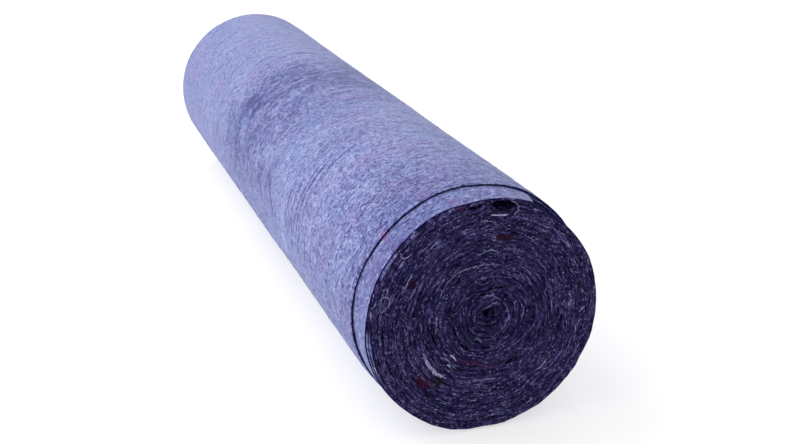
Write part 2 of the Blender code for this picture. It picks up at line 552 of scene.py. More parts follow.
def foldedLines(value, angle, along, uneven, folds):
    # a darker tone as painted shade in sunk lines round the roll, each fading out at its ends and broken
    # here and there; the same value sinks the bump
    broken = rangeOf(uneven, 0.40, 0.58, 0.25, 1.0)
    for degrees, fromFront, halfSweep, slant, width, depth in folds:
        sweep, width = math.radians(halfSweep), width * mm
        around = angle - math.radians(degrees)
        level = timesPlus(around, -math.degrees(slant * mm), along - (frontY + fromFront * mm))
        level = timesPlus(uneven - 0.5, width, level)
        near = rangeOf(abs(level), width, 0.2 * width)
        window = rangeOf(abs(around), sweep, 0.5 * sweep)
        value = timesPlus(near * window * broken, -depth, value)
    return value


def newMaterial(name, roughness, shine=0.06):
    # the material's tree and shader, with the places that its patterns follow
    material = bpy.data.materials.new(name)
    material.use_nodes = True
    tree = material.node_tree
    shader = tree.nodes["Principled BSDF"]
    shader.inputs["Roughness"].default_value = roughness
    shader.inputs["Specular IOR Level"].default_value = shine
    place = outOf(addNode("ShaderNodeTexCoord", tree=tree), "Object")
    return material, tree, shader, place


def clothUv(tree):
    return outOf(addNode("ShaderNodeUVMap", tree=tree, uv_map="cloth"), "UV")


def ownAttribute(tree, name):
    return outOf(addNode("ShaderNodeAttribute", tree=tree, attribute_name=name), "Fac")


def finishMaterial(shader, colour, height, distance, strength):
    feed(shader.inputs["Base Color"], colour)
    bump = addNode("ShaderNodeBump", {"Height": height, "Distance": distance, "Strength": strength})
    feed(shader.inputs["Normal"], outOf(bump, "Normal"))


def toneRamp(value, tones):
    ramp = addNode("ShaderNodeValToRGB", {"Fac": value})
    stops = ramp.color_ramp.elements
    while len(stops) < len(tones):
        stops.new(0.5)
    for stop, (place, colour) in zip(stops, tones):
        stop.position, stop.color = place, colour
    return outOf(ramp, "Color")


def feltMaterial(name, sheen, shine):
    material, tree, shader, place = newMaterial(name, 0.93, shine)
    look, uv = feltLook, clothUv(tree)
    angle, along, _ = placeOnRoll(place)

    def stretch(start, end, *shares):
        # eases between two distances from the front end
        return rangeOf(along, frontY + start, frontY + end, *shares)

    # woolly mottling, stronger near the front end and on the left
    swing = addedNoise(0.0, uv, look["mottles"]) * stretch(*look["strongerStretch"])
    left, right, *shares = look["swingBySide"]
    bySide = rangeOf(angle, math.radians(left), math.radians(right), *shares)
    value = timesPlus(swing, bySide, look["meanTone"])

    # fine creases round the roll, in some stretches only
    lines = clothNoise(uv, (9.0, 260.0), 0.012, roughness=0.6, distortion=0.3)
    zones = clothNoise(uv, (3.0, 11.0), shift=(4, 2))
    lineSwing = rangeOf(lines, 0.40, 0.60) - 0.5
    value = timesPlus(lineSwing, rangeOf(zones, 0.42, 0.62, 0.02, 0.17), value)

    # the darker stretch in the middle of the roll, with its darkest streak slanted across it
    falling = stretch(*look["patchFall"])
    fromShown = abs(angle - math.radians(look["patchMiddle"]))
    inner, outer = (math.radians(sweep) for sweep in look["patchSweeps"])
    shown = rangeOf(fromShown, inner, outer, 1.0, look["patchAtSides"])
    inPatch = stretch(*look["patchRise"]) * falling * shown
    cloudy = clothNoise(uv, (21.0, 27.0), 0.4, (7.7, 0.4), 4.0, 0.65)
    value = timesPlus(inPatch * rangeOf(cloudy, 0.38, 0.62), -look["patchDepth"], value)
    slanted = timesPlus(partsOf(place)[0], look["streakSlant"], along)
    middle = frontY + (look["streakFrom"] + look["streakTo"]) / 2
    reach = (look["streakTo"] - look["streakFrom"]) / 2
    torn = clothNoise(uv, (34.0, 52.0), -0.3, (2.2, 6.1), 3.0, 0.6)
    inStreak = rangeOf(abs(slanted - middle), reach, 0.3 * reach) * falling
    inStreak = inStreak * rangeOf(torn, 0.44, 0.60) * shown
    value = timesPlus(inStreak, -look["streakDepth"], value)
    knots = clothNoise(uv, (120.0, 140.0), 0.9, (6.3, 2.9), 3.0, 0.6)
    value = timesPlus(knots - 0.5, inPatch, value)

    # towards the front end the felt is darker, as painted shade, and there and in the dark stretch it has
    # small pits, darkened as painted shade
    nearFront = stretch(*look["nearFront"])
    value = timesPlus(nearFront, -look["frontDarkening"], value)
    pits = clothNoise(uv, (170.0, 260.0), 0.15, (1.2, 8.1), 2.0, 0.5, 0.6)
    pitted = mathNode("MAXIMUM", mathNode("MAXIMUM", nearFront, inPatch), 0.55)
    value = timesPlus(rangeOf(pits, 0.55, 0.66) * pitted, -look["pitDepth"], value)
    tufted = clothNoise(uv, (60.0, 95.0), 0.2, (3.2, 2.1), 3.0)
    value = foldedLines(value, angle, along, tufted, feltFolds)

    # the far stretch is smoother, and a little paler as painted light
    value = value + stretch(*look["farEnd"]) * look["farCalm"] * (look["farTone"] - value)

    # single fibres lying in several directions
    fibres = 0.0
    for turn, scale, width in look["fibres"]:
        drawn = hairLines(scaledCoords(uv, scale, turn, (turn * 9, turn * 5)), width)
        fibres = mathNode("MAXIMUM", fibres, drawn)
    fibres = fibres * rangeOf(clothNoise(uv, (160.0, 160.0)), 0.46, 0.60)
    value = timesPlus(fibres, look["fibreBrightening"], value)
    # painted highlight along the front band's cut edge
    value = timesPlus(stretch(*look["rim"]), look["rimBrightening"], value)
    colour = toneRamp(value, look["tones"])

    # patches that lean to violet and to blue, coloured flecks and pale neps
    for scale, turn, shift, ends, tint in look["tints"]:
        leaning = rangeOf(clothNoise(uv, scale, turn, shift, 4.0), *ends)
        colour = mixColour(leaning, colour, tint, "MULTIPLY")
    colour = flecked(colour, uv, look["flecks"])
    wispy = clothNoise(uv, (95.0, 150.0), 0.2, (5.2, 3.1), 4.0, 0.65)
    colour = tintedSpots(colour, angle, along, wispy, feltSpots)

    # painted shade: the sides that lie inside the roll, and the stretch next to the web's tail, are
    # darkened by the dim tint
    ragged = clothNoise(uv, (60.0, 140.0), detail=3.0) - 0.5
    dimmed = rangeOf(timesPlus(ragged, 0.9, ownAttribute(tree, "dim")), 0.25, 0.75)
    colour = mixColour(dimmed, colour, mixColour(1.0, colour, look["dim"], "MULTIPLY"))
    finishMaterial(shader, colour, value, 0.5 * mm, 0.55)
    shader.inputs["Sheen Weight"].default_value = sheen
    shader.inputs["Sheen Roughness"].default_value = 0.35
    shader.inputs["Sheen Tint"].default_value = look["sheenTint"]
    return material


def cutMaterial(name):
    material, tree, shader, place = newMaterial(name, 0.97)
    look, uv = cutLook, clothUv(tree)
    value = addedNoise(look["meanTone"], uv, look["strokes"])
    value = addedNoise(value, place, look["tufts"])
    angle, along, fromAxis = placeOnRoll(place)
    value = value + rangeOf(fromAxis, *look["coreToRim"])
    broken = clothNoise(uv, (210.0, 90.0))
    lines = hairLines(scaledCoords(uv, (60.0, 700.0), 0.0, (9, 4)), 0.03)
    value = timesPlus(lines * rangeOf(broken, 0.50, 0.66), look["lineBrightening"], value)
    colour = toneRamp(value, look["tones"])
    colour = flecked(colour, uv, look["flecks"])
    # painted shade: the cut felt is multiplied by the shade tint as far as the shade attribute says
    colour = mixColour(ownAttribute(tree, "shade"), colour, look["shade"], "MULTIPLY")
    colour = tintedSpots(colour, angle, along, broken, cutSpots)
    finishMaterial(shader, colour, value, 1.2 * mm, 0.8)
    return material


def fibreMaterial(name, dull, bright):
    # each fibre has its own tone, from the attribute of that name
    material, tree, shader, place = newMaterial(name, 0.85)
    uneven = rangeOf(noiseOf(place, 450.0, 2.0), 0.3, 0.7, 0.4, 1.2)
    share = mathNode("MULTIPLY", ownAttribute(tree, "tone"), uneven, clamp=True)
    colour = mixColour(share, dull, bright)
    finishMaterial(shader, colour, noiseOf(place, 2200.0, 1.0), 0.05 * mm, 0.5)
    return material


def woolMaterial(name, dark, light):
    # a wad of loose coloured wool, each strand with its own tone
    material, tree, shader, place = newMaterial(name, 0.95)
    tufts = rangeOf(noiseOf(place, 700.0, 3.0, 0.7, 0.8), 0.3, 0.7, -0.45, 0.45)
    share = mathNode("ADD", ownAttribute(tree, "tone"), tufts, clamp=True)
    colour = mixColour(share, dark, light)
    finishMaterial(shader, colour, noiseOf(place, 1100.0, 2.0), 0.3 * mm, 0.8)
    return material


webFelt = feltMaterial("webFelt", feltLook["sheen"], 0.25)
# the felt's copy without sheen or shine, for the faces deep in the painted shade
shadedFelt = feltMaterial("shadedFelt", 0.0, 0.0)
cutFelt = cutMaterial("cutFelt")
print("felt materials ready")


# The wound web: a rounded section swept along a spiral, then slumped and frayed

webLook = {
    "samples": 2600,
    "innerCrowding": 1.6,
    "edgeRadius": 1.3 * mm,
    "visualGap": 0.55 * mm,
    "edgeWander": 0.9 * mm,
    "wanderTurns": 3.4,
    "lastTurnsSetback": 1.8 * mm,
    "lastTurns": 2.5,
    "edgeShown": 12.0 * mm,  # how deep the cut face's own fibres grow
    "frontBand": 0.10,
    "coreRecess": 8.0 * mm,
    "coreTurns": 2.2,
    # on the left the outermost turn's edge parts into thin layers, each behind the next: a share
    # of half the ply's thickness, the depth, and the angles where the layer starts and ends
    "layers": (
        (0.40, 5.4 * mm, (194.0, 248.0, 334.0, 352.0)),
        (-0.12, 5.6 * mm, (205.0, 226.0, 260.0, 277.0)),
    ),
    "brightStep": (294.0, 300.0, 308.0, 313.0),  # where the outermost step shows as a pale strip
    "tailSlant": ((0.0, -1.2), (38 * mm, 4.6), (60 * mm, 0.0)),  # degrees, by distance from the front
}

# openings between turns: angle, radius, half sweep in degrees, height, how far it is felt
plyVoids = [
    (7.2, 122.8 * mm, 6.0, 10.6 * mm, 30 * mm),
    (353.0, 122.4 * mm, 3.6, 4.4 * mm, 16 * mm),
    (154.0, 56.6 * mm, 7.5, 5.2 * mm, 20 * mm),
    (188.0, 94.0 * mm, 4.2, 3.0 * mm, 14 * mm),
]


def smallVoids(count, seed):
    rng = np.random.default_rng(seed)
    found = []
    for _ in range(count):
        level = rng.uniform(0.18, 0.92) * webOuterRadius
        halfSweep = math.degrees(rng.uniform(3.0, 9.0) * mm / level)
        height = rng.uniform(0.8, 2.2) * mm
        found.append((rng.uniform(0, fullTurn), level, halfSweep, height, 9 * mm))
    return found


plyVoids += smallVoids(34, 61)


def webSection():
    # the web's cross-section as a closed curve: x through the thickness, y along the width
    width = windingHigh.y - windingLow.y - webLook["lastTurnsSetback"]
    half = (plyPitch - webLook["visualGap"]) / 2
    curve = webLook["edgeRadius"]
    end = width / 2
    rounding = ((0.0, 0.66), (0.25 * curve, 0.90), (curve, 1.0))
    inset = (6 * mm, 22 * mm, 38 * mm, 60 * mm)
    stations = [(end - step, half * share) for step, share in rounding]
    stations += [(end - step, half) for step in inset]
    side = stations + [(0.0, half)] + [(-y, x) for y, x in reversed(stations)]
    # the sweep turns the section's x inwards, so the layers' edges are given with a minus
    cut = [-half * (layer[0] + shift) for layer in webLook["layers"][::-1] for shift in (-0.02, 0.02)]
    loop = [(x, y) for y, x in side] + [(x, -end) for x in cut]
    loop += [(-x, -y) for y, x in side] + [(-x, end) for x in cut]
    data = bpy.data.curves.new("webSection", "CURVE")
    spline = data.splines.new("POLY")
    spline.points.add(len(loop) - 1)
    for point, (x, y) in zip(spline.points, loop):
        point.co = (x, y, 0.0, 1.0)
    spline.use_cyclic_u = True
    return newObject("webSection", data), width, half


def spiralTree():
    measures = ("Start Radius", "Tail Radius", "Pitch", "Turns", "Tail Angle", "Inner Crowding")
    kinds = {"Section": "Object", "Samples": "Int", **dict.fromkeys(measures, "Float")}
    tree, given = newGeometryTree("spiralWeb", {**kinds, "Felt": "Material"})
    path = straightLine(tree, given["Samples"], (0.0, 0.0, 0.0), (0.0, 0.0, 1.0))
    start, crowding = given["Start Radius"], given["Inner Crowding"]
    low, high = start**crowding, given["Tail Radius"] ** crowding
    radius = timesPlus(high - low, splineShare(tree, "Factor"), low) ** (1.0 / crowding)
    turn = (radius - start) / given["Pitch"]
    angle = timesPlus(turn - given["Turns"], 2 * math.pi, given["Tail Angle"])
    place = vectorOf(x=radius * mathNode("SINE", angle), y=radius * mathNode("COSINE", angle))
    inputs = {"Geometry": storeOn(path, "turn", turn), "Position": place}
    spiral = outOf(addNode("GeometryNodeSetPosition", inputs))
    spiral = storeOn(spiral, "along", splineShare(tree, "Length"))
    upright = outOf(addNode("GeometryNodeSetCurveNormal", {"Curve": spiral}, mode="Z_UP"))
    section = outOf(addNode("GeometryNodeObjectInfo", {"Object": given["Section"]}), "Geometry")
    section = storeOn(section, "around", splineShare(tree, "Length"))
    inputs = {"Curve": upright, "Profile Curve": section, "Fill Caps": True}
    swept = outOf(addNode("GeometryNodeCurveToMesh", inputs))
    inputs = {"Geometry": swept, "Rotation": (math.pi / 2, 0.0, 0.0)}
    finishTree(tree, outOf(addNode("GeometryNodeTransform", inputs)), given["Felt"])
    return tree


def angleOf(turn):
    return rollShape["tailAngle"] + fullTurn * (turn - turns)


def slumped(turn, radius, depth):
    # moves a radius in or out for the openings between turns and for uneven winding
    angle = angleOf(turn)
    moved = np.zeros_like(radius)
    for centre, level, halfSweep, height, reach in plyVoids:
        fromCentre = degreesFrom(angle, centre)
        lens = np.clip(1.0 - (fromCentre / halfSweep) ** 4, 0.0, 1.0)
        atCentre = turn - fromCentre / fullTurn
        boundary = turns - (tailRadius - level) / plyPitch
        inside = atCentre < boundary
        spiralLevel = tailRadius - plyPitch * (turns - boundary - fromCentre / fullTurn)
        nearness = np.exp(-np.abs(radius - spiralLevel) / reach)
        toRim = np.clip((webOuterRadius - level) / (25 * mm), 0.0, 1.0)
        outward = height * toRim / 2
        shift = np.where(inside, -(height - outward), outward)
        fade = np.exp(-((depth / (28 * mm)) ** 2))
        moved += shift * lens * nearness * fade
    spot = np.stack(offAxis(radius, angle), axis=1)
    calm = smoothStep((webOuterRadius - 2 * mm - radius) / (18 * mm))
    moved += (0.8 * mm * ripples(spot, 42 * mm, 11) + 0.35 * mm * ripples(spot, 15 * mm, 12)) * calm
    nearCore = 1.0 - smoothStep(radius / (38 * mm))
    moved += (0.8 * mm * ripples(spot, 17 * mm, 13) + 0.35 * mm * ripples(spot, 8 * mm, 14)) * nearCore
    return radius + moved


def spiralPlace(turn, radius):
    angle = angleOf(turn)
    right, up = offAxis(pressedFlat(radius, angle), angle)
    inward = 1.0 - turn / turns
    z = up + rollShape["coreShiftZ"] * inward + axisHeight
    return right + rollShape["coreShiftX"] * inward, z


def windowShare(turn, window):
    # 1 between the window's middle angles on the last turn, easing to 0 at its outer ones
    angle = np.mod(angleOf(turn), fullTurn)
    first, second, third, last = window
    share = smoothStep((angle - first) / (second - first)) * smoothStep((last - angle) / (last - third))
    return np.where(turn > turns - 1.0, share, 0.0)


def edgeAndCore(turn):
    # how far the web's edge stands back, in its own rhythm and in the last turns, and how far the
    # core is sunk in
    late = (turn - turns + webLook["lastTurns"]) / webLook["lastTurns"]
    setback = webLook["lastTurnsSetback"] * smoothStep(late)
    setback += webLook["edgeWander"] * (1 - np.cos(2 * math.pi * turn / webLook["wanderTurns"])) / 2
    return setback, webLook["coreRecess"] * smoothStep(1.0 - turn / webLook["coreTurns"])


def webSetback(turn, sideShare, station):
    # at the front end the core is sunk in, and the outermost turn's layers part on the left
    setback, atFront = edgeAndCore(turn)
    for edge, depth, window in webLook["layers"]:
        atFront += depth * windowShare(turn, window) * (sideShare > edge)
    return setback + atFront * (1.0 - smoothStep(station / (120 * mm)))


def edgeFray(along, turn, side):
    # the ragged height of the cut edge
    spot = np.stack([along, turn * plyPitch * 3, side * 2], axis=1)
    fray = 0.75 * mm * ripples(spot, 42 * mm, 21) + 0.50 * mm * ripples(spot, 13 * mm, 22)
    nearCore = 1.0 - smoothStep(turn / 8.0)
    return (fray + 0.30 * mm * ripples(spot, 5 * mm, 23)) * (1.0 + 0.4 * nearCore)


def dimShare(turn, side):
    # how much painted shade the felt gets: 0 where it is seen from outside, 1 where it lies inside the roll
    # or in the tail's shade
    lastTurn = 1.0 - smoothStep((turn - turns + 0.975) / 0.11)
    return np.where((side > 0) & (turn > turns - 1.0), lastTurn, 1.0)


def shadeShare(turn, sideShare, fromEnd):
    # painted shade on the cut felt, darkest in the core, between the turns, along the rim and its layers
    inCore = 0.25 * (1.0 - smoothStep((turn - 0.5) / 1.4))
    shade = np.maximum(inCore, smoothStep((fromEnd - 2 * mm) / (8 * mm)))
    shade = np.where((turn > turns - 1.0) & (sideShare > 0.50), 1.0, shade)
    window = webLook["layers"][-1][2]
    return np.maximum(shade, windowShare(turn, window) * (sideShare > -0.62))


def tailShift(turn, station):
    # the tail is cut at a slant: how many turns its end moves on, by the distance from the front
    stops, degrees = zip(*webLook["tailSlant"])
    nearTail = smoothStep((turn - turns + 0.10) / 0.10)
    return nearTail * np.interp(station, stops, degrees) / fullTurn


def buildWeb():
    section, width, half = webSection()
    values = {
        "Section": section,
        "Samples": webLook["samples"],
        "Start Radius": startRadius,
        "Tail Radius": tailRadius,
        "Pitch": plyPitch,
        "Turns": float(turns),
        "Tail Angle": math.radians(rollShape["tailAngle"]),
        "Inner Crowding": webLook["innerCrowding"],
        "Felt": webFelt,
    }
    web = grownMesh("woundFleeceWeb", spiralTree(), values)
    bpy.data.objects.remove(section)
    mesh = web.data
    points = pointsOf(mesh)
    turn = readAttribute(mesh, "turn")
    along = readAttribute(mesh, "along")
    around = readAttribute(mesh, "around")
    middle = tailRadius - plyPitch * (turns - turn)
    side = np.hypot(points[:, 0], points[:, 2]) - middle
    sideShare = side / half
    station = points[:, 1] + width / 2
    fromEnd = np.minimum(station, width - station)
    turn = turn + tailShift(turn, station)
    middle = tailRadius - plyPitch * (turns - turn)

    uneven = ripples(np.stack([along, turn * 0], axis=1), 26 * mm, 31)
    thick = side * (1 + 0.06 * uneven)
    outermost = turn > turns - 1.0
    thick = np.where(outermost, np.minimum(thick, plyThickness / 2), thick)
    overOpening = np.clip(1.0 - (degreesFrom(angleOf(turn), plyVoids[0][0]) / plyVoids[0][2]) ** 4, 0, 1)
    overOpening *= np.exp(-((station / (28 * mm)) ** 2)) * outermost * (side < 0)
    thick = thick * (1.0 - 0.6 * overOpening)
    radius = slumped(turn, middle + thick, station)
    pastEnd = smoothStep((turn - turns) * fullTurn / rollShape["seatingSweep"])
    insideWrap = middle + plyThickness / 2 - seatDrop * pastEnd
    radius = np.where(outermost, np.minimum(radius, insideWrap), radius)
    x, z = spiralPlace(turn, radius)
    cutShare = 1.0 - smoothStep(fromEnd / (3 * mm))
    fray = edgeFray(along, turn, side) * cutShare * np.where(station < width / 2, 1.0, -1.0)
    y = frontY + station + webSetback(turn, sideShare, station) + fray
    mesh.vertices.foreach_set("co", np.stack([x, y, z], axis=1).astype(np.float32).ravel())
    storeUv(mesh, along, around)
    mesh.materials.append(cutFelt)
    mesh.materials.append(shadedFelt)

    # the outermost side, and the steps between its parted layers, are felt, and the rest is cut
    felted = facesWithin(mesh, (sideShare > 0.95) & (turn > turns - 0.998))
    dim = dimShare(turn, side)
    partedBelow = windowShare(turn, webLook["layers"][1][2])
    stepShown = np.maximum(partedBelow, windowShare(turn, webLook["brightStep"]))
    for edge, _, window in webLook["layers"]:
        atEdge = (np.abs(sideShare - edge) < 0.03) & (station < 0.1 * mm)
        atEdge &= windowShare(turn, window) > 0.10
        felted |= facesWithin(mesh, atEdge & (stepShown > 0.02))
        # painted shade on the layers' steps, cleared where they show as pale strips
        dim = np.where(atEdge, 0.92 * (1.0 - stepShown), dim)
    # faces deep in the painted shade take the copy of the felt without sheen
    shaded = felted & facesWithin(mesh, dim > 0.5)
    kinds = np.where(shaded, 2, np.where(felted, 0, 1))
    mesh.polygons.foreach_set("material_index", kinds.astype(np.int32))
    storeAttribute(mesh, "dim", dim)
    storeAttribute(mesh, "shade", shadeShare(turn, sideShare, fromEnd))
    for name in ("turn", "along", "around"):
        mesh.attributes.remove(mesh.attributes[name])
    turnedOut(mesh)
    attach(web, "winding")
    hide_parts("fleece_winding")
    return web


woundWeb = buildWeb()


# The outer wrap and its free end

wrapLook = {
    "columnSweep": 3.3,
    "rows": 350,
    "creases": 90,
    "creaseDepth": 0.55 * mm,
    "swell": 0.8 * mm,
    "edgeRows": (0.0, 0.5 * mm, 1.4 * mm),
    # how far the front edge stands back, by the angle from the top
    "edgeBack": (
        (-150.0, 2.0 * mm),
        (-112.0, 4.0 * mm),
        (-90.0, 6.3 * mm),
        (-70.0, 5.6 * mm),
        (-48.0, 1.8 * mm),
        (-28.0, 2.8 * mm),
        (-13.0, 4.4 * mm),
        (2.0, 0.3 * mm),
        (40.0, 0.0),
    ),
    "edgeReach": 60 * mm,
    "edgeRounding": 0.30,  # of the thickness, and how much of it the inner side has
    "innerRounding": 0.6,
    "noiseRadius": 0.128,  # turns angles into lengths for the noises
    "floorCalm": (14.0, 12.0),  # degrees from the bottom with no relief, and its easing
    "bendLength": 45 * mm,  # the length of the free end's root
    "tuck": 1.3 * mm,  # the front edge thins out low on the left
    "tuckSweep": 28.0,  # half sweep in degrees about the middle of that stretch
    "tuckMiddle": -126.0,
    "tuckReach": 26 * mm,
}


def wrapCreases():
    # creases round the roll: angle, distance from the front end, half sweep, slant, width, depth
    rng = np.random.default_rng(5)
    found = []
    for _ in range(wrapLook["creases"]):
        angle = rng.uniform(-130.0, 60.0)
        inMiddle = rng.random() < 0.55
        away = rng.normal(0.56, 0.10) if inMiddle else rng.uniform(0.05, 0.98)
        sweep = rng.uniform(9.0, 34.0)
        slant = rng.normal(0.0, 0.00022)
        width = rng.uniform(1.8, 3.6) * mm
        depth = rng.uniform(0.35, 1.0) * wrapLook["creaseDepth"]
        found.append((angle, away, sweep, slant, width, depth))
    return found


wrapCreaseList = wrapCreases()


def wrapRelief(angle, away):
    # how far the wrap's outer side stands off its plain form
    spot = np.stack([np.radians(angle) * wrapLook["noiseRadius"], away], axis=1)
    relief = wrapLook["swell"] * (0.5 + 0.5 * ripples(spot, 190 * mm, 41))
    relief += 0.22 * mm * ripples(spot * [0.35, 1.0], 17 * mm, 42)
    for centre, level, sweep, slant, width, depth in wrapCreaseList:
        fromCentre = degreesFrom(angle, centre)
        wave = 1.6 * mm * np.sin(np.radians(fromCentre * 9.0) + level * 40)
        off = (away - level - slant * fromCentre - wave) / width
        share = np.clip(1.0 - (fromCentre / sweep) ** 2, 0.0, 1.0)
        relief -= depth * share * np.exp(-off * off)
    return np.maximum(relief, -0.9 * mm)


def edgeBack(angle, away):
    # how far the wrap is drawn back near its front edge
    stops, depths = zip(*wrapLook["edgeBack"])
    fromTop = degreesFrom(angle, 0.0)
    share = 1.0 - smoothStep(away / wrapLook["edgeReach"])
    wander = 0.7 * mm * ripples(np.stack([fromTop * 2.2 * mm], axis=1), 21 * mm, 52)
    return (np.interp(fromTop, stops, depths) + wander) * share


def wrapSheet(name, start, end):
    # a solid sheet between two angles past the web's tail, in the cloth's own coordinates
    columns = max(8, round((end - start) / wrapLook["columnSweep"]))
    pastTail = np.linspace(start, end, columns + 1)
    length = wrapHigh.y - wrapLow.y
    edge = np.array(wrapLook["edgeRows"])
    inner = np.linspace(edge[-1], length - edge[-1], wrapLook["rows"])
    rows = np.concatenate([edge[:-1], inner, length - edge[:-1][::-1]])
    count = len(rows)
    past, away = (grid.ravel() for grid in np.meshgrid(pastTail, rows, indexing="ij"))
    angle = past + rollShape["tailAngle"]
    plain = wrapOuterRadius(past)
    thick = wrapThickness
    fromEdge = np.minimum(away, length - away)
    rounded = 1.0 - np.sqrt(np.clip(fromEdge / edge[-1], 0.0, 1.0))
    rounding = wrapLook["edgeRounding"] * thick * rounded
    fromBottom = degreesFromBottom(angle)
    calm, easing = wrapLook["floorCalm"]
    offFloor = smoothStep((np.abs(fromBottom) - calm) / easing)
    relief = wrapRelief(angle, away) * offFloor
    fromTuck = np.abs(degreesFrom(angle, wrapLook["tuckMiddle"]))
    tucked = 1.0 - smoothStep(fromTuck / wrapLook["tuckSweep"])
    relief = relief - wrapLook["tuck"] * tucked * (1.0 - smoothStep(away / wrapLook["tuckReach"]))
    pressed = pressedFlat(plain, angle)
    outer = pressed + relief - rounding
    innerSide = pressed - thick + rounding * wrapLook["innerRounding"]
    arc = np.radians(angle) * wrapLook["noiseRadius"]
    fray = 0.35 * mm * ripples(np.stack([arc, away * 0], axis=1), 9 * mm, 51)
    shift = np.where(fromEdge < edge[-1], fray * np.where(away < length / 2, 1.0, -1.0), 0.0)
    points = []
    for radius in (outer, innerSide):
        right, up = offAxis(radius, angle)
        y = wrapLow.y + away + shift + edgeBack(angle, away)
        points.append(np.stack([right, y, up + axisHeight], axis=1))
    points = np.concatenate(points)
    lift = len(past)
    faces, marks = [], []
    for column in range(columns):
        for row in range(count - 1):
            a = column * count + row
            b = a + count
            faces.append((a, b, b + 1, a + 1))
            faces.append((a + lift, a + 1 + lift, b + 1 + lift, b + lift))
            marks += [0, 0]
        for row in (0, count - 1):
            a = column * count + row
            b = a + count
            faces.append((a, a + lift, b + lift, b) if row == 0 else (a, b, b + lift, a + lift))
            marks.append(1)
    for column in (0, columns):
        for row in range(count - 1):
            a = column * count + row
            ends = (a, a + 1, a + 1 + lift, a + lift)
            faces.append(ends if column == 0 else ends[::-1])
            marks.append(1)
    mesh = bpy.data.meshes.new(name)
    mesh.from_pydata(points.tolist(), [], faces)
    mesh.materials.append(webFelt)
    mesh.materials.append(cutFelt)
    mesh.polygons.foreach_set("material_index", np.array(marks, np.int32))
    arcs = np.tile(np.radians(past) * (webOuterRadius + thick), 2) + 20.0
    storeUv(mesh, arcs, np.tile(away, 2))
    # the cut edges are dark felt of their own, and this darkens them further as painted shade under the
    # wrap's front edge
    storeAttribute(mesh, "shade", np.ones(len(points)))
    turnedOut(mesh)
    sheet = newObject(name, mesh)
    arcLength = math.radians(end - start) * float(plain.mean() - thick / 2)
    print(f"{name}: {arcLength:.3f} m round, {len(faces)} faces")
    shown = (fromEdge > 3 * mm) & (np.abs(fromBottom) > 20.0)
    underLap = past < rollShape["wrapEnd"] - fullTurn + 2.0
    seen = np.concatenate([shown & ~underLap, np.zeros(lift, bool)])
    return sheet, (length, arcLength), seen


rootPast = rollShape["wrapRoot"]
outerWrap, wrapFlat, wrapSeen = wrapSheet("outerWrapSheet", rollShape["wrapStart"], rootPast)
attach(outerWrap, "wrap")
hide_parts("outer_wrap")

freeEnd, freeFlat, freeSeen = wrapSheet("wrapFreeEndSheet", rootPast, rollShape["wrapEnd"])
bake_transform(freeEnd)
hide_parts("wrap_free_end")
print("outer wrap and free end ready")


# Loose fibres, grown by one tree on whichever surface it is given

faceFibreLook = {
    "Density": 92000.0,
    "Thin From": 2.0,  # between these places along the roll the fibres thin out
    "Thin To": 3.0,
    "Clumping": 0.75,
    "Core Radius": 115 * mm,  # inside this radius the fibres are fewer and duller
    "Core Density": 0.30,
    "Core Tone": 1.0,
    "Seed": 3,
    "Shortest": 0.8 * mm,
    "Longest": 4.8 * mm,
    "Thickness": 0.31 * mm,
    "Spread": 0.34,
    "Lift": 0.5 * mm,
    "Curl": 2.0 * mm,
    "Points": 4,
}

bodyFibreLook = {
    "Density": 6000.0,
    "Thin From": frontY + 0.62,
    "Thin To": frontY + 0.90,
    "Clumping": 0.35,
    "Core Radius": 1 * mm,
    "Core Density": 1.0,
    "Core Tone": 1.0,
    "Seed": 7,
    "Shortest": 4.0 * mm,
    "Longest": 15.0 * mm,
    "Thickness": 0.14 * mm,
    "Spread": 1.3,
    "Lift": 0.25 * mm,
    "Curl": 3.6 * mm,
    "Points": 6,
}


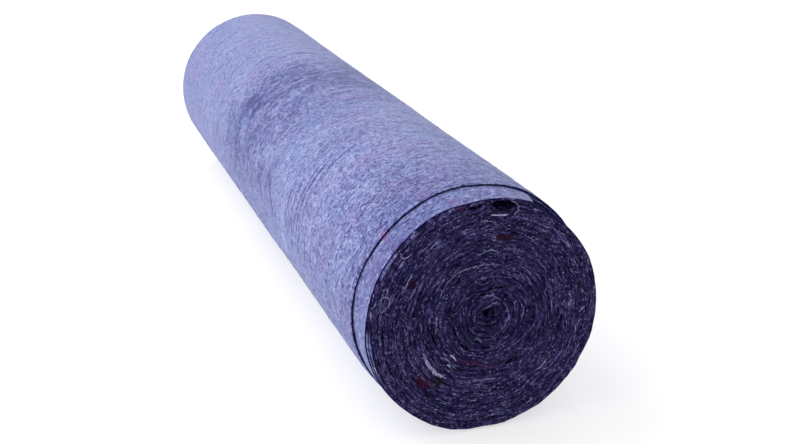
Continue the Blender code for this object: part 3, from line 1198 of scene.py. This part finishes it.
def fibreTree():
    kinds = {label: "Int" if isinstance(value, int) else "Float" for label, value in bodyFibreLook.items()}
    tree, given = newGeometryTree("feltFibres", {**kinds, "Axis Height": "Float", "Fibre": "Material"})

    def position():
        return outOf(addNode("GeometryNodeInputPosition", tree=tree))

    def randomValue(low, high, offset):
        inputs = {"Min": low, "Max": high, "Seed": given["Seed"] + float(offset)}
        return outOf(addNode("FunctionNodeRandomValue", inputs), "Value")

    def recall(name, kind="FLOAT"):
        node = addNode("GeometryNodeInputNamedAttribute", {"Name": name}, tree, data_type=kind)
        return outOf(node, "Attribute")

    def fromAxis(place):
        x, level, z = partsOf(place)
        return vectorOf(x=x, z=z - given["Axis Height"]), level

    def towardsCore(atCore):
        return rangeOf(fromCore, 0.0, given["Core Radius"], atCore, 1.0)

    here = position()
    spoke, level = fromAxis(here)
    fromCore = lengthOf(spoke)
    density = given["Density"] * rangeOf(level, given["Thin From"], given["Thin To"], 1.0, 0.5)
    density = density * towardsCore(given["Core Density"])
    clumps = (noiseOf(here, 62.0, 2.0, 0.5) - 0.5) * 6.0
    density = density * mathNode("MAXIMUM", timesPlus(clumps, given["Clumping"], 1.0), 0.05)
    inputs = {"Mesh": given["Geometry"], "Density": density, "Seed": given["Seed"]}
    roots = addNode("GeometryNodeDistributePointsOnFaces", inputs)
    normal = outOf(roots, "Normal")
    tangent = vectorNode("CROSS_PRODUCT", (0.0, 1.0, 0.0), spoke)
    inputs = {"Primary Axis": normal, "Secondary Axis": tangent}
    settings = {"primary_axis": "Z", "secondary_axis": "X"}
    facing = outOf(addNode("FunctionNodeAxesToRotation", inputs, **settings))
    lean = given["Spread"] * (randomValue(-1.0, 1.0, 1) + randomValue(-1.0, 1.0, 2))
    inputs = {"Axis": (0.0, 0.0, 1.0), "Angle": lean}
    about = outOf(addNode("FunctionNodeAxisAngleToRotation", inputs))
    inputs = {"Rotation": facing, "Rotate By": about}
    leaning = outOf(addNode("FunctionNodeRotateRotation", inputs, rotation_space="LOCAL"))
    tone = randomValue(0.0, 1.0, 3) ** 3.0 * towardsCore(given["Core Tone"])
    spots = storeOn(outOf(roots, "Points"), "centre", here, "FLOAT_VECTOR")
    spots = storeOn(spots, "outward", normal, "FLOAT_VECTOR")
    spots = storeOn(spots, "tone", tone)
    spots = storeOn(spots, "phase", randomValue(0.0, 40.0, 4))

    stroke = straightLine(tree, given["Points"], (-0.5, 0.0, 0.0), (0.5, 0.0, 0.0))
    span = randomValue(0.0, 1.0, 5) ** 2.0
    length = timesPlus(span, given["Longest"] - given["Shortest"], given["Shortest"])
    inputs = {"Points": spots, "Instance": stroke, "Rotation": leaning}
    inputs["Scale"] = vectorOf(x=length, y=1.0, z=1.0)
    placed = outOf(addNode("GeometryNodeInstanceOnPoints", inputs))
    strokes = outOf(addNode("GeometryNodeRealizeInstances", {"Geometry": placed}))

    # each stroke is bent round the roll's axis, arched off the surface and curled
    here = position()
    centre, outward = recall("centre", "FLOAT_VECTOR"), recall("outward", "FLOAT_VECTOR")
    middleSpoke, _ = fromAxis(centre)
    endSpoke, level = fromAxis(here)
    outDirection = vectorNode("NORMALIZE", middleSpoke)
    offset = vectorNode("SUBTRACT", here, centre)
    rise = vectorNode("DOT_PRODUCT", offset, outDirection, output="Value")
    bent = vectorNode("SCALE", vectorNode("NORMALIZE", endSpoke), lengthOf(middleSpoke) + rise)
    bent = vectorNode("ADD", bent, vectorOf(y=level, z=given["Axis Height"]))
    share = splineShare(tree, "Factor")
    arch = share * (1.0 - share) * 4.0
    bent = vectorNode("ADD", bent, vectorNode("SCALE", outward, arch * given["Lift"]))
    spot = vectorNode("ADD", vectorNode("SCALE", here, 160.0), vectorOf(x=recall("phase")))
    wander = addNode("ShaderNodeTexNoise", {"Vector": spot, "Scale": 1.0, "Detail": 1.0})
    swing = vectorNode("SUBTRACT", outOf(wander, "Color"), (0.5, 0.5, 0.5))
    proud = vectorNode("DOT_PRODUCT", swing, outward, output="Value")
    inPlane = vectorNode("ADD", swing, vectorNode("SCALE", outward, proud * -0.8))
    curled = vectorNode("ADD", bent, vectorNode("SCALE", inPlane, given["Curl"]))
    shaped = outOf(addNode("GeometryNodeSetPosition", {"Geometry": strokes, "Position": curled}))
    inputs = {"Resolution": 3, "Radius": given["Thickness"]}
    ring = outOf(addNode("GeometryNodeCurvePrimitiveCircle", inputs))
    girth = timesPlus(arch, 0.6, 0.45) * (recall("tone") + 0.65)
    inputs = {"Curve": shaped, "Profile Curve": ring, "Scale": girth, "Fill Caps": True}
    finishTree(tree, outOf(addNode("GeometryNodeCurveToMesh", inputs)), given["Fibre"])
    return tree


fibreGrower = fibreTree()
faceFibre = fibreMaterial("faceFibre", (0.040, 0.031, 0.125, 1), (0.50, 0.45, 0.82, 1))
bodyFibre = fibreMaterial("bodyFibre", (0.19, 0.21, 0.46, 1), (0.64, 0.68, 0.94, 1))


def partOf(mesh, keep):
    # a copy of only the faces that are kept
    part = mesh.copy()
    cloth = bmesh.new()
    cloth.from_mesh(part)
    unwanted = [face for face in cloth.faces if not keep[face.index]]
    bmesh.ops.delete(cloth, geom=unwanted, context="FACES")
    cloth.to_mesh(part)
    cloth.free()
    part.materials.clear()
    return part


def growFibres(name, surface, look, material, body=None):
    # the fibres ride on a body, or where none is given, are baked in place like the wrap's free end
    values = {**look, "Axis Height": axisHeight, "Fibre": material}
    fibres = grownMesh(name, fibreGrower, values, base=surface)
    for attribute in ("centre", "outward", "phase"):
        left = fibres.data.attributes.get(attribute)
        if left:
            fibres.data.attributes.remove(left)
    turnedOut(fibres.data)
    print(f"{name}: {len(fibres.data.polygons)} faces")
    if body:
        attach(fibres, body)
    else:
        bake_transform(fibres)


webMesh = woundWeb.data
webPoints = pointsOf(webMesh)
marks = arrayOf(webMesh.polygons, "material_index", np.int32)
isCut, isFelt = marks == 1, marks == 0
unshaded = readAttribute(webMesh, "shade") < 0.75
nearFront = isCut & facesWithin(webMesh, (webPoints[:, 1] < frontY + webLook["edgeShown"]) & unshaded)
nearBack = isCut & facesWithin(webMesh, webPoints[:, 1] > frontY + 1.0 - webLook["edgeShown"])
onBand = isFelt & facesWithin(webMesh, webPoints[:, 1] < frontY + webLook["frontBand"])
coreRadius = 75 * mm
inCore = facesWithin(webMesh, np.hypot(webPoints[:, 0], webPoints[:, 2] - axisHeight) < coreRadius)
coreLook = {**faceFibreLook, "Density": 74000.0, "Seed": 4}
coreLook.update({"Core Radius": coreRadius, "Core Density": 0.62, "Core Tone": 0.58})
backLook = {**faceFibreLook, "Density": 12000.0, "Seed": 5}
bandLook = {**bodyFibreLook, "Thickness": 0.08 * mm, "Lift": -0.06 * mm, "Curl": 0.8 * mm, "Seed": 13}
for name, kept, look, material in (
    ("outerFaceFibres", nearFront & ~inCore, faceFibreLook, faceFibre),
    ("coreFaceFibres", nearFront & inCore, coreLook, faceFibre),
    ("backFaceFibres", nearBack, backLook, faceFibre),
    ("frontBandFibres", onBand, bandLook, bodyFibre),
):
    growFibres(name, partOf(webMesh, kept), look, material, "winding")
wrapOuterSide = partOf(outerWrap.data, facesWithin(outerWrap.data, wrapSeen))
growFibres("wrapFibres", wrapOuterSide, bodyFibreLook, bodyFibre, "wrap")
freeOuterSide = partOf(freeEnd.data, facesWithin(freeEnd.data, freeSeen))
growFibres("freeEndFibres", freeOuterSide, {**bodyFibreLook, "Seed": 9}, bodyFibre)
print("fibres ready")


# Thread ends and wads of wool on the end face

# each thread: thickness, how proud it stands, and its way as angles and shares of the radius
threadLook = {
    "loopByOpening": (0.42, 1.6, ((10, 0.958), (13, 0.948), (14.6, 0.918), (14.2, 0.885), (13, 0.852))),
    "zigzag": (0.42, 0.8, ((353.5, 0.800), (355, 0.820), (356.2, 0.806), (357.3, 0.819), (359.5, 0.806))),
    "upperLeftStreak": (0.40, 0.7, ((323.5, 0.803), (327, 0.812), (330, 0.817))),
    "upperLeftHook": (0.50, 1.5, (
        (312, 0.955), (310.8, 0.925), (311.5, 0.898), (313.3, 0.886), (315.8, 0.884),
    )),
    "leftLoop": (0.36, 1.6, (
        (285.6, 0.905), (288.3, 0.911), (290.4, 0.891), (290.6, 0.863), (288.6, 0.844), (285.7, 0.844),
        (283.4, 0.857),
    )),
    "leftInnerLoop": (0.36, 1.2, ((284, 0.905), (282.4, 0.886), (283, 0.866), (285.5, 0.858))),
    "longStreak": (0.52, 0.9, ((307.5, 0.776), (303, 0.768), (299, 0.765), (293.5, 0.770))),
    "parallelStreak": (0.36, 0.5, ((300, 0.690), (297, 0.686), (293, 0.690))),
    "paleArc": (0.27, 0.4, (
        (302, 0.462), (307, 0.473), (317, 0.486), (329, 0.484), (343, 0.474), (1, 0.459), (12, 0.452),
    )),
    "arcBelow": (0.30, 0.4, ((262, 0.430), (270, 0.424), (280, 0.430), (288, 0.428))),
    "centreCrest": (0.36, 0.9, (
        (343, 0.204), (350, 0.197), (356, 0.204), (3, 0.199), (9, 0.208), (17, 0.190), (25, 0.186),
        (32, 0.191),
    )),
    "centreThread": (0.34, 1.0, (
        (340, 0.070), (355, 0.090), (8, 0.115), (18, 0.142), (29, 0.150), (43, 0.158),
    )),
    "centreLowCurl": (0.34, 0.7, ((215, 0.190), (206, 0.172), (197, 0.180), (192, 0.205))),
    "lowerLeftNeedle": (0.34, 0.5, ((228, 0.300), (222, 0.306), (217, 0.300))),
    "lowArc": (0.38, 0.6, ((193, 0.512), (186, 0.517), (179, 0.511), (170, 0.528))),
    "lowHook": (0.36, 0.8, ((190.5, 0.548), (187.5, 0.558), (185, 0.553), (183.8, 0.539))),
    "lowNeedle": (0.36, 0.7, ((176.5, 0.585), (176, 0.610), (177, 0.632))),
    "rightLowStreak": (0.58, 1.0, ((138.5, 0.663), (134, 0.668), (128, 0.670))),
    "rightDash": (0.50, 0.8, ((93.8, 0.788), (91.8, 0.812), (90.3, 0.838))),
    "upperRightDash": (0.44, 0.7, ((30.2, 0.852), (32, 0.845), (35.8, 0.850))),
    "upperRightCurl": (0.36, 0.6, ((40, 0.876), (43, 0.869), (46.5, 0.874))),
    "rightUpperCurve": (0.32, 0.6, ((45, 0.835), (50, 0.848), (53, 0.842))),
    "upperWave": (0.38, 0.5, (
        (350, 0.565), (353, 0.558), (357, 0.570), (2, 0.574), (6, 0.560), (9, 0.548),
    )),
    "innerRightStreak": (0.30, 0.4, ((75, 0.300), (83, 0.305), (92, 0.298))),
    "rimRightStreak": (0.34, 0.5, ((112, 0.870), (116, 0.868), (121, 0.874))),
    "wadTopEnd": (0.50, 1.2, ((249.3, 0.568), (246.4, 0.562), (243.4, 0.569))),
    "wadSideEnd": (0.46, 1.2, ((245.9, 0.594), (244.9, 0.581), (243.3, 0.569))),
    "wadSpur": (0.40, 1.0, ((235.2, 0.602), (234.4, 0.586), (232.3, 0.572))),
    "wadTail": (0.44, 1.0, ((221.6, 0.563), (219.5, 0.563), (216.8, 0.566))),
    "threadByWads": (0.42, 1.0, (
        (234.8, 0.470), (233.3, 0.455), (231.2, 0.443), (227.1, 0.443), (220.8, 0.449), (213.8, 0.458),
    )),
    "rimDash": (0.46, 0.9, ((281.9, 0.958), (280.6, 0.957), (279.3, 0.951))),
    "bottomCurl": (0.36, 0.8, ((158, 0.855), (155, 0.866), (152, 0.858), (151, 0.842))),
}

# each wad: its way, width and height in millimetres, number of fibres, curl and the two colours
woolLook = {
    "openingSliver": (((0.2, 0.854), (5, 0.849), (9.6, 0.854)), 0.9, 1.1, 60, 0.25, "white"),
    "whiteWad": ((
        (245.2, 0.569), (240.2, 0.571), (235.4, 0.576), (232.2, 0.567), (229.8, 0.574), (226.5, 0.576),
        (224.2, 0.565), (220.4, 0.563),
    ), 2.0, 2.0, 120, 1.0, "white"),
    "smallWhiteWad": ((
        (229.9, 0.396), (225.8, 0.393), (222.2, 0.395), (219.4, 0.405),
    ), 1.1, 1.6, 70, 0.4, "white"),
    "whiteDash": (((224.2, 0.467), (222.1, 0.466), (220.0, 0.467)), 1.0, 1.2, 36, 0.4, "white"),
    "magentaStreak": ((
        (222, 0.388), (210, 0.380), (198, 0.374), (184, 0.394), (171, 0.421),
    ), 3.0, 0.8, 90, 0.9, "magenta"),
    "redWad": (((233.6, 0.700), (229, 0.692), (224.5, 0.682)), 9.8, 0.95, 190, 1.6, "red"),
    "brownWad": (((224.5, 0.652), (220.5, 0.640), (216.5, 0.626)), 8.6, 0.75, 130, 1.7, "brown"),
    "redPatch": (((4.5, 0.673), (10.5, 0.671), (16.5, 0.677)), 5.4, 0.9, 150, 0.7, "dullRed"),
    "leftRedPatch": (((303.5, 0.719), (301, 0.718), (299, 0.722)), 5.0, 0.9, 60, 0.8, "dullRed"),
    "lowRedPatch": (((181, 0.874), (178, 0.872), (175.5, 0.874)), 3.2, 0.9, 50, 0.6, "dullRed"),
    "rimPink": (((342.5, 0.956), (346, 0.957), (349, 0.955)), 2.6, 0.6, 34, 0.9, "magenta"),
    "rimTuft": (((246.5, 0.886), (244, 0.900), (241, 0.908)), 3.4, 1.2, 46, 1.1, "pale"),
    "loopTuft": (((287.5, 0.893), (285.5, 0.896), (283.5, 0.890)), 2.6, 1.2, 30, 0.9, "pale"),
    "upperLeftTuft": (((301, 0.655), (303.5, 0.660), (306, 0.655)), 2.4, 1.3, 50, 0.8, "pale"),
    "rightTuft": (((147, 0.902), (144.5, 0.898), (142, 0.903)), 2.4, 1.1, 34, 0.9, "pale"),
    "blueTuft": (((309, 0.800), (306, 0.805), (303, 0.800)), 4.0, 0.7, 60, 0.9, "blue"),
    "greenTuft": (((232, 0.185), (222, 0.200), (210, 0.215)), 5.0, 0.7, 60, 0.9, "teal"),
}

woolColours = {
    "white": ((0.24, 0.22, 0.56, 1), (0.84, 0.82, 1.0, 1)),
    "pale": ((0.045, 0.040, 0.140, 1), (0.27, 0.26, 0.56, 1)),
    "red": ((0.028, 0.012, 0.042, 1), (0.120, 0.019, 0.066, 1)),
    "dullRed": ((0.020, 0.010, 0.032, 1), (0.070, 0.016, 0.048, 1)),
    "brown": ((0.020, 0.015, 0.040, 1), (0.060, 0.043, 0.074, 1)),
    "magenta": ((0.026, 0.014, 0.064, 1), (0.120, 0.045, 0.150, 1)),
    "blue": ((0.010, 0.014, 0.070, 1), (0.036, 0.060, 0.210, 1)),
    "teal": ((0.008, 0.014, 0.040, 1), (0.030, 0.058, 0.100, 1)),
}


def facePoint(angle, share, proud):
    # a point on the end face, standing this far out of it
    radius = share * outerRadius
    turn = turns - np.maximum(tailRadius - radius, 0.0) / plyPitch
    setback, core = edgeAndCore(turn)
    right, up = offAxis(radius, angle)
    return np.stack([right, frontY + (setback + core) - proud, up + axisHeight], axis=-1)


def smoothWay(stops, count):
    # evenly numbered points on a smooth curve through the stops
    stops = np.asarray(stops, float)
    stops[:, 0] = np.degrees(np.unwrap(np.radians(stops[:, 0])))
    padded = np.vstack([2 * stops[0] - stops[1], stops, 2 * stops[-1] - stops[-2]])
    along = np.linspace(0, len(stops) - 1, count)
    first = np.minimum(along.astype(int), len(stops) - 2)
    t = (along - first)[:, None]
    a, b, c, d = (padded[first + step] for step in range(4))
    return 0.5 * (2 * b + (c - a) * t + (2 * a - 5 * b + 4 * c - d) * t**2 + (3 * b - a - 3 * c + d) * t**3)


def tubeArrays(way, girth, sides=5):
    # the points and faces of a closed tube along a way
    tangent = np.gradient(way, axis=0)
    tangent /= np.linalg.norm(tangent, axis=1)[:, None] + 1e-12
    across = np.cross(tangent, (0.0, 1.0, 0.0))
    across /= np.linalg.norm(across, axis=1)[:, None] + 1e-12
    over = np.cross(across, tangent)
    turned = np.arange(sides) * 2 * math.pi / sides
    cosine, sine = np.cos(turned)[None, :, None], np.sin(turned)[None, :, None]
    ring = cosine * across[:, None] + sine * over[:, None]
    points = (way[:, None] + ring * girth[:, None, None]).reshape(-1, 3)
    faces = []
    for row in range(len(way) - 1):
        for side in range(sides):
            near, far = row * sides + side, row * sides + (side + 1) % sides
            faces.append((near, far, far + sides, near + sides))
    last = (len(way) - 1) * sides
    faces.append(tuple(range(sides - 1, -1, -1)))
    faces.append(tuple(range(last, last + sides)))
    return points, faces


def meshOf(name, parts, material, tones):
    # one object from several sets of points and faces, each with its own tone
    points, faces, start = [], [], 0
    for somePoints, someFaces in parts:
        points.append(somePoints)
        faces += [tuple(corner + start for corner in face) for face in someFaces]
        start += len(somePoints)
    mesh = bpy.data.meshes.new(name)
    mesh.from_pydata(np.concatenate(points).tolist(), [], faces)
    mesh.materials.append(material)
    shares = [np.full(len(part[0]), tone) for part, tone in zip(parts, tones)]
    storeAttribute(mesh, "tone", np.concatenate(shares))
    turnedOut(mesh)
    piece = newObject(name, mesh)
    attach(piece, "winding")


def buildThreads():
    threadMaterial = fibreMaterial("thread", (0.060, 0.052, 0.170, 1), (0.52, 0.50, 0.88, 1))
    for number, (name, (thickness, proud, stops)) in enumerate(threadLook.items()):
        rng = np.random.default_rng(100 + number)
        count = 10 * len(stops)
        way = smoothWay(stops, count)
        share = np.linspace(0, 1, count)
        height = 0.25 * mm + proud * mm * np.sin(math.pi * share) ** 0.7
        points = facePoint(way[:, 0], way[:, 1], height)
        points += 0.42 * mm * np.stack([ripples(points, 5 * mm, seed) for seed in (1, 2, 3)], axis=1)
        girth = 0.8 * thickness * mm * (0.3 + 0.7 * np.sin(math.pi * np.clip(share, 0.02, 0.98)) ** 0.5)
        girth *= 1 + 0.30 * ripples(points, 4 * mm, 7)
        parts = [tubeArrays(points, girth)]
        # hairs that stand off the thread
        for _ in range(2 * len(stops) + 4):
            start = rng.integers(0, count - 6)
            hair = points[start : start + 6] + np.linspace(0, 1, 6)[:, None] * rng.normal(0, 1.2 * mm, 3)
            parts.append(tubeArrays(hair, np.full(6, 0.12 * mm), 3))
        meshOf(name + "Thread", parts, threadMaterial, [1.0] + [0.6] * (len(parts) - 1))


def woolStrand(fine, width, height, curl, girth, rng, seed):
    # one strand that wanders along the wad's way, inside its width and height
    reach = int(rng.integers(16, 42))
    start = int(rng.integers(-8, 60 - reach + 8))
    picked = np.clip(np.arange(start, start + reach, 3), 0, 59)
    share = picked / 59.0
    room = np.sqrt(np.clip(1 - (2 * share - 1) ** 4, 0.05, 1.0))
    room = room * np.clip(0.80 + 0.55 * ripples(share[:, None], 0.24, seed), 0.25, 1.4)
    aside = (rng.uniform(-0.5, 0.5) + rng.normal(0, 0.08)) * width * room
    radial = fine[picked, 1] + aside / outerRadius
    rise = (0.1 + 0.8 * rng.random()) * height * room
    points = facePoint(fine[picked, 0], radial, rise)
    swing = np.stack([ripples(points + rng.random(3), 4 * mm, seed) for seed in (1, 2, 3)], axis=1)
    points = points + curl * swing * (1.0, 0.35, 1.0)
    thickness = girth * np.sin(math.pi * np.linspace(0.10, 0.90, len(points)))
    return tubeArrays(points, thickness, 4)


def buildWool():
    for number, (name, (stops, width, height, count, curl, colour)) in enumerate(woolLook.items()):
        rng = np.random.default_rng(300 + number)
        material = woolMaterial(name + "Wool", *woolColours[colour])
        fine = smoothWay(stops, 60)
        parts, tones = [], []
        for _ in range(count):
            thick = rng.random() < 0.3
            girth = (rng.uniform(0.24, 0.42) if thick else rng.uniform(0.10, 0.20)) * mm
            spread = width * (0.7 if thick else 1.1) * mm
            strand = woolStrand(fine, spread, height * mm, curl * mm, girth, rng, 400 + number)
            parts.append(strand)
            tones.append(rng.random() ** 0.8)
        meshOf(name, parts, material, tones)


buildThreads()
buildWool()
print("threads and wool ready")


# Camera, floor and lamps

viewLook = {
    "lens": 53.718,
    "sensor": 36.0,
    "place": (-0.44010, -1.50452, 0.62402),
    "turnRight": 19.171,  # degrees
    "tiltDown": 20.166,
}


def addCamera():
    data = bpy.data.cameras.new("photoCamera")
    data.lens = viewLook["lens"]
    data.sensor_width = viewLook["sensor"]
    data.sensor_fit = "HORIZONTAL"
    data.clip_start, data.clip_end = 0.01, 50.0
    camera = newObject("photoCamera", data)
    camera.location = viewLook["place"]
    tilt = math.radians(90.0 - viewLook["tiltDown"])
    camera.rotation_euler = (tilt, 0.0, -math.radians(viewLook["turnRight"]))
    bpy.context.scene.camera = camera


stageLook = {
    "floorSize": 24.0,
    "floorColour": (0.62, 0.62, 0.63, 1),
    "floorGlow": 0.58,
    "skyLight": 0.66,
    "backdrop": 1.0,
    # each lamp: place, aim, size and power
    "lamps": {
        "skyLamp": ((-1.6, 1.0, 2.8), (0.0, 0.1, 0.1), 2.4, 32.0),
        "sideLamp": ((-2.7, -0.4, 0.45), (0.0, 0.0, 0.1), 2.0, 31.0),
    },
}


def emptyTree(owner):
    owner.use_nodes = True
    owner.node_tree.nodes.clear()
    return owner.node_tree


def whiteLight(tree, kind, strength):
    return outOf(addNode(kind, {"Color": (1, 1, 1, 1), "Strength": strength}, tree))


def mixInto(kind, share, first, second):
    mixed = addNode("ShaderNodeMixShader", {0: share, 1: first, 2: second})
    feed(share.tree.nodes.new(kind).inputs["Surface"], outOf(mixed))


def addFloor():
    bpy.ops.mesh.primitive_plane_add(size=stageLook["floorSize"], location=(0.0, 0.0, 0.0))
    floor = bpy.context.object
    floor.name = "studioFloor"
    material = bpy.data.materials.new("studioFloor")
    tree = emptyTree(material)
    matte = outOf(addNode("ShaderNodeBsdfDiffuse", {"Color": stageLook["floorColour"]}, tree))
    glow = whiteLight(tree, "ShaderNodeEmission", stageLook["floorGlow"])
    path = addNode("ShaderNodeLightPath", tree=tree)
    seen = mathNode("MAXIMUM", outOf(path, "Is Camera Ray"), outOf(path, "Is Glossy Ray"))
    seen = mathNode("MAXIMUM", seen, outOf(path, "Is Transmission Ray"))
    both = outOf(addNode("ShaderNodeAddShader", {0: matte, 1: glow}))
    mixInto("ShaderNodeOutputMaterial", seen, matte, both)
    floor.data.materials.append(material)


def addWorld():
    world = bpy.data.worlds.new("studioWorld")
    bpy.context.scene.world = world
    tree = emptyTree(world)
    soft = whiteLight(tree, "ShaderNodeBackground", stageLook["skyLight"])
    white = whiteLight(tree, "ShaderNodeBackground", stageLook["backdrop"])
    toCamera = outOf(addNode("ShaderNodeLightPath", tree=tree), "Is Camera Ray")
    mixInto("ShaderNodeOutputWorld", toCamera, soft, white)


def addLamp(name, place, aim, size, power):
    data = bpy.data.lights.new(name, "AREA")
    data.shape = "DISK"
    data.size = size
    data.energy = power
    lamp = newObject(name, data)
    lamp.location = place
    lamp.rotation_euler = (Vector(aim) - Vector(place)).to_track_quat("-Z", "Y").to_euler()


addCamera()
addFloor()
addWorld()
for name, lamp in stageLook["lamps"].items():
    addLamp(name, *lamp)
bpy.context.scene.view_settings.view_transform = "Standard"
print("camera, floor and lamps ready")
